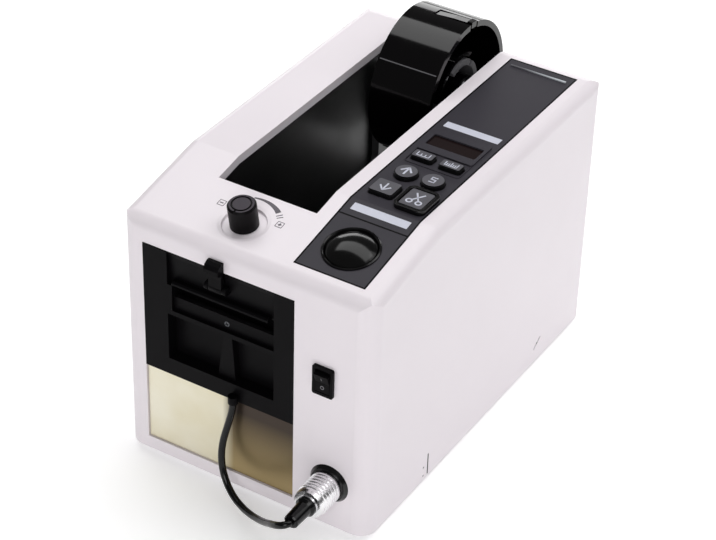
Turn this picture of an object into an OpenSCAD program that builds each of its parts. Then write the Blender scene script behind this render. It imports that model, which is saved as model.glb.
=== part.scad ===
// Electric desktop tape dispenser: moulded housing, tape channel with reel, key panel and cutter module.
// X is to the right seen from the front, Y runs from the front face to the rear, Z is up from the table.

/* [Housing] */
// Width of the housing
body_w = 135; // [130:1:150]
// Depth of the housing from front face to rear face
body_d = 215; // [205:1:235]
// Height of the flat top above the lower rim
body_h = 142; // [139:0.5:150]
// Drop of the sloping deck from the flat top to the front edge
deck_drop = 10.3; // [8:0.1:12]
// Length of the sloping deck
deck_l = 54.6; // [50:0.2:60]
// Wall thickness of the moulding
wall = 2.5; // [2:0.1:3]
// Radius of the upright corners
corner_r = 8.5; // [5:0.5:10]
// Radius of the side edges of the top
edge_r = 6; // [4:0.5:8]
// Radius of the rear edge of the top
rear_r = 10; // [7:0.5:12]
// Radius where the deck turns down into the front face
brow_r = 7; // [5:0.5:8]
// Height of the rubber feet
foot_h = 2.5; // [2:0.5:5]
// Thickness of the base plate
base_t = 2; // [1.5:0.5:3]

/* [Tape channel and reel] */
// Width of the open channel for the tape roll
channel_w = 53; // [48:0.5:53]
// Width of the pale strip between the channel and the dark panel
channel_gap = 7.75; // [7:0.05:9]
// Distance from the front face to the channel's front edge
channel_front = 38.4; // [38:0.2:42]
// Height of the channel's floor above the lower rim
channel_floor = 50; // [46:0.5:54]
// Depth of the pale lip above the dark liner
lip_d = 4.5; // [4:0.1:6]
// Wall thickness of the liner
liner_t = 2.5; // [2:0.1:3]
// Outer diameter of the reel drum, for a 76 mm core
drum_d = 75; // [70:0.5:76]
// Length of the reel drum
drum_l = 33.5; // [28:0.5:36]
// Wall of the drum
drum_wall = 3; // [2.5:0.1:4]
// Distance from the front face to the reel axle
axle_front = 183.3; // [176:0.5:186]
// Depth of the reel axle below the flat top
axle_drop = 14; // [10:0.5:18]
// Diameter of the reel axle
axle_d = 8; // [6:0.5:10]

/* [Key panel] */
// Width of the dark panel
panel_w = 36.1; // [35:0.1:38]
// Width of the pale strip between the panel and the right side
panel_side = 10.05; // [9:0.05:11]
// Gap from the front face to the panel's front edge
panel_front = 8.2; // [8:0.1:9]
// Distance from the panel's rear edge to the rear face
panel_rear = 11.2; // [11:0.2:20]
// Thickness of the panel
panel_t = 1.5; // [1.2:0.1:1.6]
// Diameter of the start button
start_d = 23; // [18:0.5:23.5]
// Travel of the start button
start_travel = 2.5; // [1.5:0.1:3]
// Travel of the keys
key_travel = 0.8; // [0.5:0.1:0.9]
// Diameter of the speed knob
knob_d = 13.4; // [11:0.2:15]
// Height of the speed knob
knob_h = 12.5; // [9:0.5:16]

/* [Cutter module] */
// Distance from the left side to the window in the front face
window_left = 12.5; // [11:0.1:14]
// Distance from the right side to the window
window_right = 40.5; // [38:0.1:43]
// Lower edge of the window above the lower rim
window_low = 7; // [6:0.5:9]
// Distance from the flat top down to the window
window_top = 22.5; // [20:0.1:25]
// Height of the metal front plate
plate_h = 43.4; // [40:0.2:44]
// Diameter of the feed roller
feed_d = 18; // [16:0.5:18.5]
// Diameter of the pressure roller
press_d = 12; // [10:0.5:12.4]
// Gear tooth module
tooth = 0.8; // [0.7:0.05:0.85]
// Stroke of the moving blade
blade_stroke = 10; // [7:0.5:10]

/* [Switch and connector] */
// Width of the rocker switch frame
switch_w = 10.8; // [9.5:0.1:12]
// Height of the rocker switch frame
switch_h = 15.6; // [14.5:0.1:17]
// Diameter of the round connector's flange
socket_d = 20.4; // [18:0.2:22]
// Diameter of the plug's ribbed ring
ring_d = 16; // [15:0.2:18]
// Diameter of the sensor cable
cable_d = 3.5; // [3:0.1:3.9]

/* [Hidden] */
$fn = 64;
e = 0.01;
big = 400;

// Running clearance of shafts and pins, and play between pieces that pass each other
run = 0.05;
play = 0.3;

// Hair's breadth by which rounded edges of the housing stand off its flat faces
skim = 0.015;

// Main planes
front_y = -body_d / 2 + 1.5;
rear_y = front_y + body_d;
rim_z = foot_h;
top_z = rim_z + body_h;
bend_y = front_y + deck_l;
slope = atan(deck_drop / deck_l);
base_top = rim_z + base_t;

// Dark panel across the width
pn_x1 = body_w / 2 - panel_side;
pn_x0 = pn_x1 - panel_w;
panel_x = (pn_x0 + pn_x1) / 2;

// Tape channel and reel
ch_x1 = pn_x0 - channel_gap;
ch_x0 = ch_x1 - channel_w;
ch_y0 = front_y + channel_front;
floor_z = rim_z + channel_floor;
axle_y = front_y + axle_front;
axle_z = top_z - axle_drop;
axle_r = axle_d / 2;
drum_r = drum_d / 2;
cradle_t = 4;
drum_gap = 1.6;
drum_x1 = ch_x1 - cradle_t - drum_gap;
drum_x0 = drum_x1 - drum_l;
collar_r = axle_r + 3;
hub_r = axle_r + 5;
grip_r = hub_r + 11;
grip_t = 2.4;
web_t = 3;
rib_t = 2;
cradle_w = 18;
cradle_rise = 4;
spring_w = 7;
spring_gap = 1.2;
slot_l = 21;
slot_tilt = -7;

// Key panel
pn_y0 = front_y + panel_front;
pn_y1 = rear_y - panel_rear;
panel_gap = 0.4;
panel_ledge = 1.5;
ridge_w = 0.8;
ridge_h = 0.5;
ridge_y = pn_y1 - 6.2;
seam_y = bend_y - 10.6;
start_y = bend_y - 28.5;
start_r = start_d / 2;
start_rim = 2;
dome_h = 4;
stem_r = 3;
leg_y = start_r + start_rim + 0.2;
leg_t = 1.6;
leg_w = 8;
switch_top = -14;
start_case = [20, 12, 16];
knob_x = ch_x1 - 25.85;
knob_y = bend_y - 35.65;
dish_r = 11;
knob_gap = 0.5;
dish_d = 1.6;
dish_lip = 0.35;
dish_soft = 1.7;
shaft_r = 3;

// Board and keys below the panel
board_t = 1.6;
board_top = top_z - 7.6;
board_y0 = bend_y + 2;
board_y1 = bend_y + 92;
post_r = 2.5;
post_x0 = pn_x0 - 1;
post_x1 = pn_x1 + 0.8;
key_proud = 2.2;
key_step = 0.5;
frame_proud = 2.5;
frame_w = 1.5;
bezel_rise = 0.8;
key_rim = 0.8;
tact_h = 3.5;
tact_w = 6;
tact_top = top_z - panel_t - 0.1 - key_rim - key_travel - 0.3;
lens_x = panel_x;
lens_w = 27.6;
lens_l = 11;
lens_t = 0.8;
lens_y = bend_y + 61.5;
digit_w = 22;
digit_l = 10;
frame_side = 1;
frame_end = 4.5;
display_frame = [lens_w + 2 * frame_side, lens_l + 2 * frame_end];

// Places of the keys: x, y, width, length; the round keys have equal width and length
unit_at = [panel_x - 7.1, bend_y + 45.3, 11.4, 6.4];
mode_at = [panel_x + 7.8, bend_y + 45, 11.4, 6.4];
up_at = [panel_x - 6.7, bend_y + 29.1, 11.2, 11.2];
program_at = [panel_x + 7.3, bend_y + 29.3, 11.2, 11.2];
down_at = [panel_x - 7.9, bend_y + 12.7, 12.6, 11.2];
cut_at = [panel_x + 9, bend_y + 11.9, 12.6, 14.6];
key_places = [unit_at, mode_at, up_at, program_at, down_at, cut_at];

// Cutter module
win_x0 = -body_w / 2 + window_left;
win_x1 = body_w / 2 - window_right;
window_x = (win_x0 + win_x1) / 2;
win_z0 = rim_z + window_low;
win_z1 = top_z - window_top;
fit = 0.2;
plate_t = 1.6;
plate_set = 1;
split_z = win_z0 + plate_h;
bezel_proud = 0.3;
bezel_back = front_y + 8;
in_x0 = win_x0 + 13.5;
in_x1 = win_x1 - 10.6;
mouth_z0 = win_z1 - 32;
mouth_z1 = win_z1 - 17.5;
pocket_z0 = split_z + 9.2;
pocket_z1 = mouth_z0 - 2.5;
pocket_back = bezel_back - 1.5;
cover_set = 1.8;
apron_h = 7;
apron_set = 2;
apron_t = 2.5;
bar_t = 3;
pillar_x = window_x + 4;
side_t = 2;
side_x0 = win_x0 + 3;
side_x1 = win_x1 - 3;
chassis_back = front_y + 33;
tape_z = mouth_z0 + 9.5;
feed_y = front_y + 21;
feed_r = feed_d / 2;
feed_z = tape_z - 0.15 - feed_r;
press_r = press_d / 2;
press_z = tape_z + 0.15 + press_r;
feed_shaft = 3;
press_shaft = 2.5;
roller_x0 = side_x0 + 4.5;
roller_x1 = in_x1 - 1.5;
gear_teeth = 28;
pinion_teeth = 14;
gear_w = 4.5;
gear_x0 = side_x1 - side_t - gear_w - 0.5;
gear_gap = tooth * (gear_teeth + pinion_teeth) / 2;
mesh_tilt = -61;
pinion_y = feed_y + gear_gap * cos(mesh_tilt);
pinion_z = feed_z + gear_gap * sin(mesh_tilt);
motor_r = 13;
motor_plate = 16;
motor_l = 26;
motor_boss = 5;
motor_shaft = 2;
blade_t = 1.2;
blade_y = bezel_back + 0.4;
blade_z = mouth_z1 - 0.5;
blade_h = 13;
carrier_x1 = side_x0 + 8;
carrier_t = 4;
cut_teeth = 14;
cut_r = tooth * cut_teeth / 2;
rack_line = blade_y + carrier_t + tooth * 1.25;
cut_y = rack_line + cut_r;
tie_z = press_z + press_r + 0.7;
tie_t = 1;
cut_motor_h = 10;
cut_box_l = 9;
cut_box_w = 12;
cut_can_l = 15;
cut_z = tie_z + tie_t + cut_motor_h / 2;
cut_shaft = 1.5;
cut_x1 = carrier_x1;
cut_x0 = side_x0 + side_t + play;
latch_x = window_x - 0.2;
latch_w = 7;
latch_z = win_z1 - 9.5;
latch_y = front_y - 0.2;
latch_pin = 1;
latch_eye = 1.9;
tab_out = 0.4;
tab_t = 4.6;
tab_h = 5.6;

// Switch, connector and inlet
switch_x = panel_x + 3.6;
switch_z = rim_z + 82.5;
switch_deep = 16;
rocker_w = switch_w - 3.4;
rocker_tilt = 10;
rocker_pin = 1;
rocker_end = 2.6;
rocker_out = 3.6;
rocker_dip = 2.6;
rocker_in = 4;
socket_x = panel_x + 7.4;
socket_z = rim_z + 25;
socket_t = 1.8;
socket_edge = 1.3;
barrel_r = 8;
collar_out = 6;
collar_in = 5;
collar_l = 6.5;
ring_l = 15.9;
ring_ribs = 6;
ring_rib = [[0, -0.5], [0.15, 0], [0.6, 0], [0.75, -0.5]];
boot_l = 13.7;
nut_r = 11;
inlet_x = panel_x;
inlet_z = rim_z + 24;
inlet_body = [26.8, 20, 19.8];
inlet_flange = [32, 2.5, 24];
inlet_deep = 15;
pin_t = 2;
pin_h = 4;

// Power supply under the channel
psu_y0 = rear_y - 96;
psu_y1 = rear_y - 12;
psu_h = 35;
vent_w = 3;
vent_step = 8;
vent_deep = 2;
vent_edge = 8;

// Route of the sensor cable from the plug's axis, to the front of the boot, down and up to the cutter module
cable_points = [[0, -32.2, 0], [0, -33.2, 0.1], [-0.6, -34.3, 0], [-1.9, -35.1, -0.5], [-3.8, -35.2, -1.5],
  [-6.2, -34.5, -3], [-8.8, -33.1, -4.9], [-11.9, -31, -7.4], [-15.8, -28.4, -10.6], [-23.6, -23.3, -15.9],
  [-31.1, -19.2, -19.1], [-37.7, -15.6, -20.7], [-43.3, -12.8, -20.5], [-47.7, -10.6, -18.7],
  [-50.9, -9, -15.9], [-53.2, -7.8, -12.2], [-54.6, -6.9, -7.9], [-55.2, -6.1, -2.9],
  [-55, -5.3, 2.6], [-54.1, -4.5, 8.1], [-53, -3.7, 13.5], [-52, -2.9, 18.7], [-51.4, -2.5, 22.7],
  [-51.2, -2.4, 25.7]];
cable_route = [for (p = cable_points) p + [socket_x, front_y, socket_z]];
gland_at = cable_route[len(cable_route) - 1];
gland_r = 2.4;
gland_l = 4;

// Height of the outer skin at a place along the depth
function deck_z(y) = y >= bend_y ? top_z : top_z - (bend_y - y) * tan(slope);

// Rectangle with four round corners
module rounded(x0, y0, x1, y1, r) {
  polygon([[x0 + r, y0], [x1 - r, y0], [x1, y0 + r], [x1, y1 - r],
    [x1 - r, y1], [x0 + r, y1], [x0, y1 - r], [x0, y0 + r]]);
  for (x = [x0 + r, x1 - r], y = [y0 + r, y1 - r]) translate([x, y]) circle(r);
}

// Box given by its two corners
module block(a, b) {
  translate(a) cube(b - a);
}

// Cylinder along X from one place to another
module rod_x(x0, x1, y, z, r) {
  translate([x0, y, z]) rotate([0, 90, 0]) cylinder(h = x1 - x0, r = r);
}

// Cylinder along Y from one place to another
module rod_y(y0, y1, x, z, r) {
  translate([x, y1, z]) rotate([90, 0, 0]) cylinder(h = y1 - y0, r = r);
}

// Profile in Y and Z pushed along X
module along_x(x0, x1) {
  translate([x0, 0, 0]) rotate([90, 0, 90]) linear_extrude(x1 - x0) children();
}

// Profile in X and Z pushed along Y
module along_y(y0, y1) {
  translate([0, y1, 0]) rotate([90, 0, 0]) linear_extrude(y1 - y0) children();
}

// Puts a piece on the deck or the flat top, its own Z along the skin's normal
module on_deck(x, y) {
  translate([x, y, deck_z(y)]) rotate([y < bend_y ? slope : 0, 0, 0]) children();
}

// Side outline of the housing
module side_outline() {
  line_z = top_z - deck_drop;
  cy = front_y + brow_r;
  cz = line_z + brow_r * tan(slope) - brow_r / cos(slope);
  polygon([[front_y, rim_z - 1], [front_y, cz], [cy - brow_r * sin(slope), cz + brow_r * cos(slope)],
    [bend_y, top_z], [rear_y - rear_r, top_z], [rear_y, top_z - rear_r], [rear_y, rim_z - 1]]);
  translate([cy, cz]) circle(brow_r);
  translate([rear_y - rear_r, top_z - rear_r]) circle(rear_r);
}

// Inner side outline, set in by g, with its front and rear upper corners cut off
module core_outline(g) {
  f = front_y + g;
  r = rear_y - g;
  t = top_z - g;
  by = bend_y + g * tan(slope / 2);
  line_z = t - (by - f) * tan(slope);
  cb = brow_r / 2;
  cr = rear_r / 2;
  polygon([[f, rim_z - 1], [f, line_z - cb], [f + cb, line_z + cb * tan(slope)], [by, t], [r - cr, t],
    [r, t - cr], [r, rim_z - 1]]);
}

// Front outline under a top at height 0, set out by g so that round edges and flat faces meet in clean lines
module top_outline(g) {
  r = edge_r;
  w = body_w / 2 + g;
  polygon([[-w, -big], [w, -big], [w, g - r], [w - r, g], [r - w, g], [-w, g - r]]);
  for (x = [r - w, w - r]) translate([x, g - r]) circle(r);
}

// Whole outer form of the housing
module envelope() {
  intersection() {
    along_x(-body_w, body_w) side_outline();
    translate([0, 0, rim_z]) linear_extrude(big)
      rounded(-body_w / 2, front_y, body_w / 2, rear_y, corner_r);
    translate([0, 0, top_z]) along_y(-big, big) top_outline(2 * skim);
    translate([0, bend_y, top_z]) rotate([slope, 0, 0]) along_y(-big, big) top_outline(skim);
  }
}

// Hollow inside the housing's walls
module cavity() {
  intersection() {
    along_x(-body_w, body_w) core_outline(wall);
    translate([0, 0, rim_z - 0.5]) linear_extrude(big)
      rounded(-body_w / 2 + wall, front_y + wall, body_w / 2 - wall, rear_y - wall, corner_r - wall);
  }
}

// Block that holds the channel's lip and liner
module channel_block(t) {
  block([ch_x0 - t, ch_y0 - t, floor_z - t], [ch_x1 + t, rear_y + 1, top_z + 1]);
}

// Pocket in the top where the panel lies, widened by a gap
module panel_zone(g) {
  block([pn_x0 - g, pn_y0 - g, rim_z + 60], [pn_x1 + g, pn_y1 + g, top_z + 1]);
}

module housing() {
  color([0.93, 0.91, 0.93]) difference() {
    union() {
      difference() {
        envelope();
        cavity();
      }
      channel_lip();
      housing_bosses();
    }
    channel_block(0);
    panel_pocket();
    front_cuts();
    side_cuts();
    on_deck(knob_x, knob_y) {
      rotate_extrude() polygon([[0, -dish_d], [dish_r - 1, -dish_d], [dish_r - 0.5, -dish_lip],
        [dish_r + dish_soft, 0.1], [dish_r + dish_soft, 1], [0, 1]]);
      translate([0, 0, -20]) cylinder(h = 30, r = shaft_r + 1.6);
    }
  }
}

// Deeper rim round the channel, down to the liner
module channel_lip() {
  difference() {
    intersection() {
      channel_block(wall);
      along_x(-body_w, body_w) core_outline(wall / 2);
    }
    along_x(-body_w - 1, body_w + 1) core_outline(lip_d);
  }
}

// Screw bosses at the base corners and posts that carry the key board
module housing_bosses() {
  for (at = boss_places) difference() {
    translate([at[0], at[1], base_top]) cylinder(h = boss_h, r = boss_r);
    translate([at[0], at[1], base_top - 1]) cylinder(h = boss_h - 3, r = screw_r + run);
  }
  for (x = [post_x0, post_x1], y = [board_y0 + 4, board_y1 - 4])
    translate([x, y, board_top]) cylinder(h = top_z - wall / 2 - board_top, r = post_r);
}
boss_r = 4;
boss_h = 24;
screw_r = 1.45;
boss_x = body_w / 2 - wall - boss_r + 0.5;
boss_places = [for (x = [-boss_x, boss_x], y = [front_y + 20, rear_y - 11]) [x, y]];

module panel_pocket() {
  difference() {
    panel_zone(panel_gap);
    along_x(-body_w, body_w) core_outline(panel_t);
  }
  block([pn_x0 + panel_ledge, pn_y0 + panel_ledge, top_z - 30],
    [pn_x1 - panel_ledge, board_y1 - 14, top_z + 1]);
}

module front_cuts() {
  block([win_x0, front_y - 1, win_z0], [win_x1, front_y + wall + 1, win_z1]);
  block([switch_x - switch_w / 2 + 0.7, front_y - 1, switch_z - switch_h / 2 + 0.9],
    [switch_x + switch_w / 2 - 0.7, front_y + wall + 1, switch_z + switch_h / 2 - 0.9]);
  rod_y(front_y - 1, front_y + wall + 1, socket_x, socket_z, barrel_r + 0.1);
  block([inlet_x - inlet_body[0] / 2 - fit, rear_y - wall - 1, inlet_z - inlet_body[2] / 2 - fit],
    [inlet_x + inlet_body[0] / 2 + fit, rear_y + 1, inlet_z + inlet_body[2] / 2 + fit]);
}

// Small service slots and holes low on the right side
module side_cuts() {
  x0 = body_w / 2 - wall - 1;
  x1 = body_w / 2 + 1;
  block([x0, bend_y - 0.2, rim_z + 1.5], [x1, bend_y + 1, rim_z + 14]);
  for (z = [rim_z + 3, rim_z + 8]) rod_x(x0, x1, bend_y - 3.6, z, 0.6);
  translate([0, rear_y - 51.6, rim_z + 11.2]) rotate([35, 0, 0]) block([x0, -4, -0.6], [x1, 4, 0.6]);
}

module base_plate() {
  color([0.78, 0.79, 0.8]) difference() {
    translate([0, 0, rim_z]) linear_extrude(base_t)
      rounded(play + wall - body_w / 2, front_y + wall + play, body_w / 2 - wall - play, rear_y - wall - play,
        corner_r - wall);
    for (at = boss_places) translate([at[0], at[1], rim_z - 1])
      cylinder(h = base_t + 2, r = screw_r + 0.25);
  }
}

foot_r = 7;
foot_places = [for (x = [-1, 1], y = [front_y + 24, rear_y - 24]) [x * (body_w / 2 - 17.5), y]];

module rubber_feet() {
  color([0.1, 0.1, 0.1]) for (at = foot_places) translate([at[0], at[1], 0]) rotate_extrude()
    polygon([[0, 0], [foot_r - 1, 0], [foot_r, 1], [foot_r, foot_h], [0, foot_h]]);
}

module base_screws() {
  color([0.7, 0.7, 0.72]) for (at = boss_places) translate([at[0], at[1], rim_z]) {
    difference() {
      translate([0, 0, -1.6]) cylinder(h = 1.6, r = 2.75);
      for (a = [0, 90]) rotate([0, 0, a]) translate([-1.6, -0.35, -2]) cube([3.2, 0.7, 1.2]);
    }
    translate([0, 0, -e]) cylinder(h = base_t + 14, r = screw_r);
  }
}

// Dark tub under the lip: two walls, floor and front wall, open to the rear
module channel_liner() {
  color([0.07, 0.07, 0.075]) difference() {
    intersection() {
      channel_block(liner_t);
      along_x(-body_w, body_w) core_outline(lip_d);
    }
    channel_block(0);
    block([ch_x0 + 3, ch_y0 - liner_t - 1, tape_z - 5], [ch_x1 - 3, ch_y0 + 1, tape_z + 5]);
  }
}

module reel_cradles() {
  color([0.08, 0.08, 0.085]) for (x = [ch_x0, ch_x1 - cradle_t]) difference() {
    along_x(x, x + cradle_t) difference() {
      union() {
        translate([axle_y - cradle_w / 2, floor_z]) square([cradle_w, axle_z + cradle_rise - floor_z]);
        polygon([[axle_y - cradle_w, floor_z], [axle_y + cradle_w, floor_z],
          [axle_y + cradle_w / 2, floor_z + 30], [axle_y - cradle_w / 2, floor_z + 30]]);
      }
      translate([axle_y, axle_z]) circle(axle_r + run);
      translate([axle_y - axle_r - run, axle_z]) square([axle_d + 2 * run, cradle_rise + 1]);
    }
  }
}

// Key outlines: round keys where width and length agree, else a rounded rectangle
module key_outline(at, g) {
  r = at[2] == at[3] ? at[2] / 2 + g : 1.6 + g;
  translate([at[0], at[1]]) {
    if (at[2] == at[3]) circle(r);
    else rounded(-at[2] / 2 - g, -at[3] / 2 - g, at[2] / 2 + g, at[3] / 2 + g, r);
  }
}

// Slice of the skin that the panel fills
module panel_skin(y0, y1) {
  difference() {
    intersection() {
      along_x(-body_w, body_w) core_outline(0);
      block([pn_x0, y0, rim_z + 60], [pn_x1, y1, top_z + 1]);
    }
    along_x(-body_w - 1, body_w + 1) core_outline(panel_t);
  }
}

module control_panel() {
  color([0.28, 0.28, 0.3]) difference() {
    union() {
      panel_skin(seam_y + 0.15, pn_y1);
      block([pn_x0 + 3, ridge_y, top_z - 0.1], [pn_x1 - 3, ridge_y + ridge_w, top_z + ridge_h]);
    }
    for (at = key_places) translate([0, 0, top_z - 5]) linear_extrude(10) key_outline(at, play);
    block([lens_x - lens_w / 2, lens_y - lens_l / 2, top_z - lens_t - 0.2],
      [lens_x + lens_w / 2, lens_y + lens_l / 2, top_z + 1]);
    block([lens_x - lens_w / 2 + 1.5, lens_y - lens_l / 2 + 1.5, top_z - 5],
      [lens_x + lens_w / 2 - 1.5, lens_y + lens_l / 2 - 1.5, top_z + 1]);
  }
}

module start_panel() {
  color([0.28, 0.28, 0.3]) difference() {
    panel_skin(pn_y0, seam_y - 0.15);
    on_deck(panel_x, start_y) translate([0, 0, -10]) cylinder(h = 20, r = start_r + start_rim);
  }
}

module display_lens() {
  z1 = top_z - 0.2;
  color([0.12, 0.08, 0.07]) block([lens_x - lens_w / 2 + fit, lens_y - lens_l / 2 + fit, z1 - lens_t],
    [lens_x + lens_w / 2 - fit, lens_y + lens_l / 2 - fit, z1]);
}

// Raised frame round the display window
module display_bezel() {
  color([0.24, 0.24, 0.26]) translate([lens_x, lens_y, top_z]) difference() {
    linear_extrude(bezel_rise)
      rounded(-display_frame[0] / 2, -display_frame[1] / 2, display_frame[0] / 2, display_frame[1] / 2, 1.2);
    translate([0, 0, -1]) linear_extrude(bezel_rise + 2)
      rounded(-lens_w / 2 + 0.6, -lens_l / 2 + 0.6, lens_w / 2 - 0.6, lens_l / 2 - 0.6, 0.8);
  }
}

// Raised frame round the cutting key
module cut_frame() {
  color([0.05, 0.05, 0.055]) translate([0, 0, top_z]) difference() {
    linear_extrude(frame_proud) key_outline(cut_at, play + frame_w);
    translate([0, 0, -1]) linear_extrude(frame_proud + 2) key_outline(cut_at, play);
  }
}

// Digit unit that stands on the key board behind the lens
module display_unit() {
  color([0.16, 0.15, 0.15])
    block([lens_x - digit_w / 2, lens_y - digit_l / 2, board_top],
      [lens_x + digit_w / 2, lens_y + digit_l / 2, top_z - panel_t - 0.2]);
}

module control_board() {
  color([0.1, 0.35, 0.2]) block([post_x0 - post_r, board_y0, board_top - board_t],
    [post_x1 + post_r, board_y1, board_top]);
}

module key_switches() {
  color([0.15, 0.15, 0.15]) for (at = key_places) {
    translate([at[0] - tact_w / 2, at[1] - tact_w / 2, board_top]) cube([tact_w, tact_w, tact_h]);
    translate([at[0], at[1], board_top + tact_h - e])
      cylinder(h = tact_top - board_top - tact_h + e, r = 1.75);
  }
}

module start_bezel() {
  color([0.05, 0.05, 0.05]) on_deck(panel_x, start_y) rotate_extrude() polygon([
    [start_r + play, -wall], [start_r + start_rim - run, -wall], [start_r + start_rim - run, 0.6],
    [start_r + start_rim - 0.6, 1], [start_r + 0.9, 0.6], [start_r + play, -0.6]]);
}

module start_switch() {
  color([0.15, 0.15, 0.16]) on_deck(panel_x, start_y) {
    translate([-start_case[0] / 2, -start_case[1] / 2, switch_top - start_case[2]]) cube(start_case);
    translate([-leg_w / 2, -leg_y - leg_t, switch_top - leg_t]) cube([leg_w, 2 * (leg_y + leg_t), leg_t]);
    for (y = [-leg_y - leg_t, leg_y]) translate([-leg_w / 2, y, switch_top - e])
      cube([leg_w, leg_t, -switch_top - panel_t + e]);
    translate([0, 0, switch_top - e]) cylinder(h = 1 + e, r = 2);
  }
}

module knob_control() {
  color([0.3, 0.32, 0.34]) on_deck(knob_x, knob_y) difference() {
    union() {
      translate([-8, -8, -wall - 9]) cube([16, 16, 9]);
      translate([0, 0, -wall - e]) cylinder(h = wall - dish_d - 0.1, r = shaft_r + 1.5);
    }
    translate([0, 0, -wall - 8]) cylinder(h = 20, r = shaft_r + run);
  }
}

module switch_frame() {
  hw = switch_w / 2;
  hh = switch_h / 2;
  color([0.06, 0.06, 0.065]) translate([switch_x, 0, switch_z]) difference() {
    union() {
      along_y(front_y - 1.6, front_y) rounded(-hw, -hh, hw, hh, 1);
      block([-hw + 0.8, front_y - e, -hh + 1], [hw - 0.8, front_y + switch_deep, hh - 1]);
    }
    block([-rocker_w / 2 - fit, front_y - 5, -hh + 1.5], [rocker_w / 2 + fit, front_y + 9, hh - 1.5]);
    rod_x(-rocker_w / 2 - 1, rocker_w / 2 + 1, front_y + 1, 0, rocker_pin + run);
  }
}

module connector_socket() {
  color([0.06, 0.06, 0.065]) translate([socket_x, 0, socket_z]) difference() {
    union() {
      translate([0, front_y, 0]) rotate([90, 0, 0])
        cylinder(h = socket_t, r1 = socket_d / 2, r2 = socket_d / 2 - socket_edge);
      rod_y(front_y - e, front_y + 14, 0, 0, barrel_r);
      rod_y(front_y - socket_t - collar_l, front_y, 0, 0, collar_out);
      along_y(front_y + wall, front_y + wall + 3) circle(r = nut_r, $fn = 6);
    }
    rod_y(front_y - socket_t - collar_l - 1, front_y - socket_t, 0, 0, collar_in);
  }
}

// Appliance inlet in the rear wall
module mains_inlet() {
  hw = inlet_body[0] / 2;
  hh = inlet_body[2] / 2;
  fw = inlet_flange[0] / 2;
  fh = inlet_flange[2] / 2;
  y1 = rear_y + inlet_flange[1];
  color([0.06, 0.06, 0.065]) translate([inlet_x, 0, inlet_z]) difference() {
    union() {
      along_y(rear_y, y1) rounded(-fw, -fh, fw, fh, 2);
      block([-hw, rear_y - inlet_body[1], -hh], [hw, rear_y + e, hh]);
    }
    along_y(rear_y - inlet_deep, y1 + 1)
      polygon([[-12, -8], [12, -8], [12, 4], [8.2, 8], [-8.2, 8], [-12, 4]]);
  }
  color("silver") for (at = [[-6.5, -1.5], [0, 2.5], [6.5, -1.5]])
    translate([inlet_x + at[0], rear_y - inlet_deep - e, inlet_z + at[1]])
      block([-pin_t / 2, 0, -pin_h / 2], [pin_t / 2, inlet_deep - 2, pin_h / 2]);
}

module face_plate() {
  color([0.85, 0.8, 0.66]) block([win_x0 + fit, front_y + plate_set, win_z0 + fit],
    [win_x1 - fit, front_y + plate_set + plate_t, split_z - fit]);
}

module module_bezel() {
  f = front_y - bezel_proud;
  color([0.07, 0.07, 0.075]) difference() {
    union() {
      difference() {
        block([win_x0 + fit, f, split_z], [win_x1 - fit, bezel_back, win_z1 - fit]);
        block([in_x0 + 2.5, f - 1, mouth_z0], [in_x1, bezel_back + 1, mouth_z1]);
        block([in_x0, f - 1, pocket_z0], [in_x1, pocket_back, pocket_z1]);
        along_x(in_x0, in_x1) polygon([[f - 1, mouth_z1 - 0.5], [f + bar_t, mouth_z1 - 0.5],
          [f + bar_t, mouth_z1 + 2], [f + cover_set, win_z1 - 3.5], [f + 0.8, win_z1 + 1],
          [f - 1, win_z1 + 1]]);
      }
      block([in_x0 + 2, f + apron_set, mouth_z0 - 1],
        [in_x1 + 1, f + apron_set + apron_t, mouth_z0 + apron_h]);
      along_y(f + 2.5, pocket_back + e) polygon([[pillar_x - 2, pocket_z1 + e],
        [pillar_x + 2, pocket_z1 + e], [pillar_x + 4, pocket_z0 - e], [pillar_x - 5.5, pocket_z0 - e]]);
      translate(gland_at) cylinder(h = gland_l, r = gland_r);
      for (x = [latch_x - latch_w / 2 - 2.3, latch_x + latch_w / 2 + play]) along_x(x, x + 2) {
        translate([latch_y, latch_z]) circle(2);
        translate([latch_y, latch_z - 2]) square([cover_set + 2, 4]);
      }
    }
    rod_x(latch_x - latch_w, latch_x + latch_w, latch_y, latch_z, latch_pin + run);
  }
}

// Two side plates with cross plates, standing on the base behind the bezel
module module_chassis() {
  color([0.62, 0.63, 0.65]) difference() {
    union() {
      for (x = [side_x0, side_x1 - side_t]) along_x(x, x + side_t) side_plate();
      along_x(side_x1 - side_t, side_x1)
        translate([chassis_back - 1, pinion_z - motor_r - 3]) square([motor_plate, 2 * motor_r + 6]);
      block([side_x0, bezel_back + 1, split_z + 0.6], [side_x1, chassis_back, split_z + 2.6]);
      block([side_x0, cut_y + cut_r + 2, tie_z], [side_x1, chassis_back, tie_z + tie_t]);
      block([cut_x1 + 0.5, cut_y - 6, tie_z], [side_x1, chassis_back, tie_z + tie_t]);
    }
    rod_x(side_x0 - 1, side_x1 + 1, feed_y, feed_z, feed_shaft + run);
    rod_x(side_x0 - 1, side_x1 + 1, feed_y, press_z, press_shaft + run);
    rod_x(side_x1 - side_t - 1, side_x1 + 1, pinion_y, pinion_z, motor_boss + 0.1);
  }
}

module side_plate() {
  polygon([[front_y + plate_set + plate_t, base_top], [chassis_back, base_top], [chassis_back, win_z1 - 3],
    [bezel_back, win_z1 - 3], [bezel_back, split_z - 1], [front_y + plate_set + plate_t, split_z - 1]]);
}

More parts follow.
